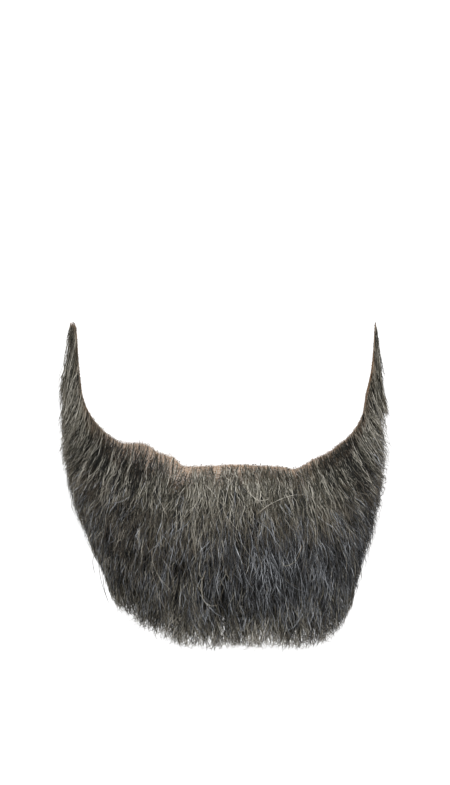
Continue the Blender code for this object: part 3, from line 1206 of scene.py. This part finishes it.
def locksOf(kind, count, turns, silverShare, crowding):
    # the hairs of some locks: their paths, thicknesses and tones
    lockTurn = spreadTurns(turns, count)
    high, low = kind["roots"]
    lockDown = high + (low - high) * dice.uniform(0, 1, count) ** (crowding if kind is longHair else 1)
    lock = np.repeat(np.arange(count), kind["inLock"])
    n = len(lock)

    def shared(*values):
        return dice.uniform(*values, count)[lock]

    def own(size):
        return dice.normal(0, size, n)

    root = np.abs(lockDown[lock] + own(kind["spreadDown"]))
    bareHere = bare.at(lockTurn)[lock]
    if kind is edgeHair:
        root = root / kind["roots"][1] * (bareHere + hair["edgeZone"])
    else:
        least, most = hair["keptOut"]
        pushed = dice.uniform(0, 1, n) < np.minimum(least + hair["keptOutRise"] * bareHere, most)
        root = np.where((root < bareHere) & pushed, root + bareHere, root)
    stray = dice.uniform(0, 1, n) < kind["stray"]
    bend = dice.normal(0, kind["bend"], count)[lock] + own(kind["ownBend"])
    bend = bend * (1 - hair["straighter"] * ramp(np.abs(lockTurn), *hair["straighterTurns"])[lock])
    longer = 1 + hair["longer"] * cornerAt(lockTurn)[lock] * ramp(root, hair["longerRoots"], 0)
    length = kind["length"] * longer * (shared(*hair["lengths"]) + own(hair["ownLength"]))
    end = np.minimum(root + length, 1.0)
    clump = clumpAt(lockTurn, lockDown)[lock]
    top = shared(*hair["tops"]) + own(hair["ownTop"]) + hair["strayTop"] * stray
    top = top + hair["clumpHeight"] * clump
    fuller = ramp(lockTurn, *leftSideburn["fullTurns"])[lock] * hump(end, *leftSideburn["fullEnds"])
    top = top + leftSideburn["fuller"] * fuller
    deep = dice.uniform(0, 1, n) < hair["deepShare"]
    whole = 2 * math.pi * hair["coatLength"] * (end - root)
    eachHair = {
        "lift": trim.at(lockTurn)[lock] + shared(*hair["lift"]) + own(hair["ownLift"]),
        "offTurn": own(kind["spreadTurn"]),
        "bend": np.where(stray, bend * hair["strayBend"], bend),
        "phase": shared(0, 2 * math.pi) + own(hair["ownPhase"]),
        "waves": whole / shared(*hair["waveLengths"]),
        "weavePhase": dice.uniform(0, 2 * math.pi, n),
        "weaves": whole / dice.uniform(*hair["weaveLengths"], n),
        "top": np.where(deep, top * dice.uniform(*hair["deep"], n), top),
        "hook": own(kind["hook"]) * (dice.uniform(0, 1, n) < hair["hooked"]),
        "root": root,
        "end": end,
    }
    paths = pathsOf(kind, lockTurn[lock], **{name: value[:, None] for name, value in eachHair.items()})
    radii = radiiOf(n, kind["steps"], hair["taper"], hair["radii"])
    frosted = np.where(dice.uniform(0, 1, count) < hair["frostedLocks"], hair["frosted"], hair["plain"])
    silver = dice.uniform(0, 1, n) < silverShare * frosted[lock]
    radii = radii * np.where(silver, hair["silverRadius"], 1.0)[:, None]
    # the sunken bands get painted shade and the full ones painted light, besides the hair's own paler or
    # darker tone
    pale = kind["pale"] + dice.normal(0, hair["ownPale"], count)[lock] + hair["paintedClumpShade"] * clump
    return paths, radii, tonesOf(silver & kind["silver"], lockTurn[lock], root, pale)


def radiiOf(n, steps, taper, sizes):
    along = np.interp(np.linspace(0, 1, steps), np.linspace(0, 1, len(taper)), taper)
    return hair["radius"] * mm * dice.uniform(*sizes, (n, 1)) * along[None, :]


# from black at 0 to silver at 1
lightness = {
    "most": (0.0, 0.57),
    "middling": (0.5, 0.84),
    "middlingShare": 0.32,
    "silver": (0.84, 1.0),
}
# where the hair is paler or darker, partly greyer hair and partly painted light: the chin top is paler
# where light falls from above, and the jaws and cheek tops are darker as painted shade; and where it has a
# larger share of cool greys
# a ramp is given by the turns where it starts and is full, and a patch by its middle and its width
paintedLightAndGrey = {
    "chinTop": {"by": 0.34, "turn": (0.0, 32.0), "root": (0.0, 0.21)},
    "sideburns": {"by": 0.30, "turn": (88.0, 100.0)},
    "jaws": {"by": -0.20, "turn": (32.0, 44.0), "end": (96.0, 88.0)},
    "cheekTops": {"by": -0.15, "turn": (68.0, 18.0), "root": (0.0, 0.25)},
}
cooler = {
    "all": 0.34,
    "left": {"by": 0.24, "turn": (15.0, 35.0)},
    "sideburns": {"by": -0.30, "turn": (80.0, 95.0)},
    # the bluish band across the middle of the chin: cool grey hair and partly a painted reflection
    "chin": {"by": 0.68, "turn": (12.0, 30.0), "root": (0.44, 0.26)},
    "topEdge": (0.09, 0.26),  # none above the first place
    "hem": (0.86, 0.70),  # few below it
    "hemLeast": 0.1,
}


def rampOf(part, turn):
    return part["by"] * ramp(turn, *part["turn"])


def patchOf(part, turn, root):
    return part["by"] * hump(turn, *part["turn"]) * hump(root, *part["root"])


def tonesOf(silver, turn, root, pale):
    n, size = len(silver), np.abs(turn)
    light = dice.uniform(*lightness["most"], n)
    middling = dice.uniform(0, 1, n) < lightness["middlingShare"]
    light = np.where(middling, dice.uniform(*lightness["middling"], n), light) + pale
    # painted light on the chin top and painted shade on the jaws and cheek tops, added to the hair's own
    # tone
    light = light + patchOf(paintedLightAndGrey["chinTop"], turn, root) + patchOf(paintedLightAndGrey["cheekTops"], size, root)
    light = light + rampOf(paintedLightAndGrey["sideburns"], size)
    light = light + rampOf(paintedLightAndGrey["jaws"], size) * ramp(size, *paintedLightAndGrey["jaws"]["end"])
    light = np.where(silver, dice.uniform(*lightness["silver"], n), light)
    coolShare = cooler["all"] + rampOf(cooler["left"], turn) + rampOf(cooler["sideburns"], size)
    # the cool patch on the chin is partly a painted reflection
    coolShare = coolShare + patchOf(cooler["chin"], turn, root)
    coolShare = coolShare * ramp(root, *cooler["topEdge"])
    coolShare = coolShare * np.maximum(ramp(root, *cooler["hem"]), cooler["hemLeast"])
    cool = dice.uniform(0, 1, n) < coolShare
    return greys["spread"] * np.clip(light, 0, 1) + np.where(cool, greys["coolStarts"], 0.0)


def pathsOf(kind, turn, lift, offTurn, bend, phase, waves, weavePhase, weaves, top, hook, root, end):
    share = np.linspace(0, 1, kind["steps"])[None, :]
    turn = turn[:, None]
    start = within(turn + offTurn, flow["lastRoot"])
    down = root + (end - root) * share
    steep = flow["steep"] + flow["flatter"] * ramp(np.abs(start), *flow["flatterTurns"])
    risen = share**steep if kind["start"] == 0 else share
    inMass = ramp(np.abs(turn), *flow["inMassTurns"]) * ramp(np.abs(turn), *flow["inMassEnds"])
    low = np.maximum(kind["start"], flow["inMass"] * inMass) * ramp(root, 0, flow["inMassRoots"])
    held = flow["held"] - flow["heldLess"] * ramp(np.abs(turn), *flow["heldLessTurns"])
    held = held + flow["heldMore"] * cornerAt(turn)
    top = top * (1 - held * ramp(end, flow["heldEnds"], 0))
    height = low + (top - low) * risen
    weave = kind["weave"] * np.sin(weavePhase + weaves * share)
    uneven = dice.normal(0, flow["uneven"], height.shape)
    height = height + (weave + uneven) * ramp(share, *flow["calmRoot"])
    height = np.minimum(height, np.maximum(top, flow["highest"]))
    across = acrossOf(pathsAt(start, down, height, lift)) / mm
    swelling = (across - across[:, :1]) / flow["swell"]
    swing = np.sin(phase + waves * share) - np.sin(phase)
    aside = combed.at(start) * (down - root) - flow["gathered"] * np.sign(start) * swellAt(start) * swelling
    aside = aside - offTurn * kind["gather"] * share
    aside = aside + bend * share ** flow["bendPower"] + hook * share ** flow["hookPower"]
    for part in partings:
        off = start - part["turn"]
        near = hump(off, 0, partingShape["width"]) * ramp(down, *partingShape["opens"])
        aside = aside + partingShape["aside"] * part["strength"] * np.sign(off) * near
    turned = within(start + calmAt(start) * aside, lastTurn)
    paths = pathsAt(turned, down, height, lift)
    straight = paths[:, :1] + (paths[:, -1:] - paths[:, :1]) * share[..., None]
    direct = flow["direct"] + flow["directMore"] * ramp(np.abs(start), *flow["directTurns"])
    direct = (direct * ramp(root, *flow["directRoots"]))[..., None]
    paths = paths * (1 - direct) + straight * direct
    kinks = kinksOf(paths, kind["kink"]) * ramp(share, *flow["straightRoot"])[..., None]
    angle = np.radians(start)[..., None]
    sideways = np.concatenate([np.cos(angle), np.sin(angle), 0 * angle], axis=-1)
    return paths + kinks + kind["wave"] * mm * swing[..., None] * sideways


def kinksOf(paths, size):
    # small random bends, none of them at the root
    kinks = dice.normal(0, size * mm, paths.shape)
    kinks[:, 0] = 0
    return kinks


# a lock that is cut off straight, on the outside of the left sideburn
bluntHair = {
    "hairs": 130,
    "steps": 8,
    "turns": (104.5, 113.5),
    "roots": (0.0, 0.16),
    "end": 0.44,
    "unevenEnd": 0.004,
    "out": (0.8, 1.16),  # how high they stand, where 1 is the outside of the coat
    "outPower": 0.7,
    "spread": 0.3,
    "kink": 0.10,
    "radii": (0.8, 1.15),
    "taper": (0.85, 1, 1, 1, 1, 1, 0.95, 0.0),
    "silver": 0.35,
    "pale": 0.1,
}


def bluntLock():
    n = bluntHair["hairs"]
    share = np.linspace(0, 1, bluntHair["steps"])[None, :]
    turn = dice.uniform(*bluntHair["turns"], (n, 1))
    turn = turn + dice.normal(0, bluntHair["spread"], (n, 1)) * share
    root = dice.uniform(*bluntHair["roots"], (n, 1))
    end = bluntHair["end"] + dice.normal(0, bluntHair["unevenEnd"], (n, 1))
    down = root + (end - root) * share
    height = dice.uniform(*bluntHair["out"], (n, 1)) * share ** bluntHair["outPower"]
    paths = pathsAt(turn, down, height, np.zeros_like(down))
    paths = paths + kinksOf(paths, bluntHair["kink"])
    radii = radiiOf(n, bluntHair["steps"], bluntHair["taper"], bluntHair["radii"])
    silver = dice.uniform(0, 1, n) < bluntHair["silver"]
    return paths, radii, tonesOf(silver, turn[:, 0], root[:, 0], bluntHair["pale"])


# single hairs that lie across the coat or hang past it: turn, place down the coat and height along each
strays = (
    {
        "turn": (4.6, 9.0, 15.0, 21.0, 27.0),
        "down": (0.325, 0.27, 0.225, 0.20, 0.195),
        "height": (1.10, 1.20, 1.26, 1.24, 1.15),
        "tone": 0.99,
    },
    {
        "turn": (2.0, 4.0, 6.5, 9.5, 11.0),
        "down": (0.16, 0.215, 0.24, 0.23, 0.205),
        "height": (1.05, 1.15, 1.22, 1.22, 1.18),
        "tone": 0.97,
    },
    {
        "turn": (21.0, 18.0, 14.5, 13.0, 15.0),
        "down": (0.50, 0.58, 0.60, 0.57, 0.53),
        "height": (1.0, 1.07, 1.07, 1.06, 1.02),
        "tone": 0.9,
    },
    {
        "turn": (-13.0, -14.5, -14.0, -11.0, -8.5),
        "down": (0.62, 0.70, 0.76, 0.79, 0.78),
        "height": (1.0, 1.06, 1.07, 1.05, 1.0),
        "tone": 0.96,
    },
    {
        "turn": (-33.0, -31.5, -29.0, -26.0, -23.5),
        "down": (0.55, 0.63, 0.69, 0.725, 0.76),
        "height": (1.0, 1.05, 1.06, 1.05, 1.0),
        "tone": 0.93,
    },
    {
        "turn": (-70.0, -70.5, -71.0, -70.5, -69.5),
        "down": (0.80, 0.85, 0.90, 0.95, 0.99),
        "height": (0.9, 1.0, 1.15, 1.3, 1.4),
        "tone": 0.6,
    },
    {
        "turn": (-66.0, -67.0, -68.0, -69.0, -70.0),
        "down": (0.82, 0.87, 0.92, 0.97, 1.01),
        "height": (0.9, 1.0, 1.15, 1.3, 1.35),
        "tone": 0.5,
    },
    {
        "turn": (-72.0, -73.0, -73.5, -74.5, -76.0),
        "down": (0.76, 0.80, 0.84, 0.88, 0.91),
        "height": (0.9, 1.05, 1.2, 1.35, 1.45),
        "tone": 0.7,
    },
)
strayShape = {"steps": 14, "radius": 0.15, "taper": ((0, 0.1, 0.7, 1), (0.7, 1, 0.8, 0))}


def strayHair():
    share = np.linspace(0, 1, strayShape["steps"])

    def lines(name):
        return np.array([Column(np.linspace(0, 1, len(s[name])), s[name]).at(share) for s in strays])

    down = lines("down")
    paths = pathsAt(lines("turn"), down, lines("height"), np.zeros_like(down))
    taper = np.interp(share, *strayShape["taper"])
    radii = strayShape["radius"] * mm * np.broadcast_to(taper, down.shape)
    return paths, radii, greys["spread"] * np.array([stray["tone"] for stray in strays])


def pathsAt(turn, down, height, lift):
    flat = [a.ravel() for a in np.broadcast_arrays(turn, down, height, lift)]
    return coatPoint(*flat).reshape(*down.shape, 3)


def strands(name, region):
    kinds = (longHair, shortHair, hemHair, edgeHair)
    facts = region["turns"], region["silver"], region["crowding"]
    parts = [locksOf(kind, n, *facts) for kind, n in zip(kinds, region["counts"])]
    if name == "strands_sideburn_left":
        parts.append(bluntLock())
    if name == "strands_chin":
        parts.append(strayHair())
    tubes(name, parts, name.replace("strands", "hair"))


for regionName, regionFacts in regions.items():
    strands(regionName, regionFacts)
print("front hair done")


underJaw = {
    "locks": 235,
    "inLock": 10,
    "steps": 6,
    "turns": (-110.0, 110.0),
    "spreadTurn": 1.3,
    "rootsEnd": 113.0,
    "tipsEnd": 114.6,
    "places": (1.80, 2.95),  # where its roots are, as places on the net
    "spreadPlace": 0.05,
    "lengths": (0.84, 0.56),  # of the way down to the hem, at the front and at the back
    "lockLengths": (0.82, 1.05),
    "ownLength": 2.0,
    "shortest": 8.0,
    "clearance": 1.2,  # behind the front hair
    "neckClearance": 8.0,
    "tipRange": 2.0,  # from front to back, at least
    "tipPower": 0.8,
    "spreadTip": 1.0,
    "bend": 1.6,
    "ownBend": 1.0,
    "kink": 0.32,
    "radii": (0.75, 1.15),
    "taper": (0.85, 1.0, 1.0, 0.9, 0.7, 0.0),
    "silver": 0.12,
}


def underJawHair():
    locks = underJaw["locks"]
    low, high = underJaw["places"]
    lockTurn = spreadTurns(underJaw["turns"], locks)
    lockShare = dice.uniform(0, 1, locks)
    lock = np.repeat(np.arange(locks), underJaw["inLock"])
    n = len(lock)

    def own(size):
        return dice.normal(0, size, n)

    turn = lockTurn[lock] + own(underJaw["spreadTurn"])
    turn = np.clip(turn, -underJaw["rootsEnd"], underJaw["rootsEnd"])
    share = np.clip(lockShare[lock] + own(underJaw["spreadPlace"]), 0, 1)
    roots = netSection(turn, low + (high - low) * share, coat["netDepth"])
    hem, hang, neck = section("hem", turn), section("hang", turn), section("neck", turn)
    longest, shortest = underJaw["lengths"]
    reach = longest + (shortest - longest) * share
    drop = (roots[:, 1] - hem[:, 1]) * reach * dice.uniform(*underJaw["lockLengths"], locks)[lock]
    drop = np.maximum(drop + own(underJaw["ownLength"]), underJaw["shortest"])
    front = hang[:, 0] - underJaw["clearance"]
    back = np.minimum(neck[:, 0] + underJaw["neckClearance"], front - underJaw["tipRange"])
    tipAcross = front + (back - front) * share + own(underJaw["spreadTip"])
    steps = np.linspace(0, 1, underJaw["steps"])[None, :]
    across = roots[:, :1] + (tipAcross - roots[:, 0])[:, None] * steps ** underJaw["tipPower"]
    up = roots[:, 1:] - drop[:, None] * steps
    bend = dice.normal(0, underJaw["bend"], locks)[lock] + own(underJaw["ownBend"])
    around = turn[:, None] + bend[:, None] * steps ** flow["bendPower"]
    around = np.clip(around, -underJaw["tipsEnd"], underJaw["tipsEnd"])
    paths = world(around, np.stack([across, up], axis=-1))
    paths = paths + kinksOf(paths, underJaw["kink"])
    radii = radiiOf(n, underJaw["steps"], underJaw["taper"], underJaw["radii"])
    shades = tonesOf(dice.uniform(0, 1, n) < underJaw["silver"], turn, share, 0.0)
    tubes("strands_under_jaw", [(paths, radii, shades)], "hair_under_jaw")


underJawHair()
print("hair under the jaw done")
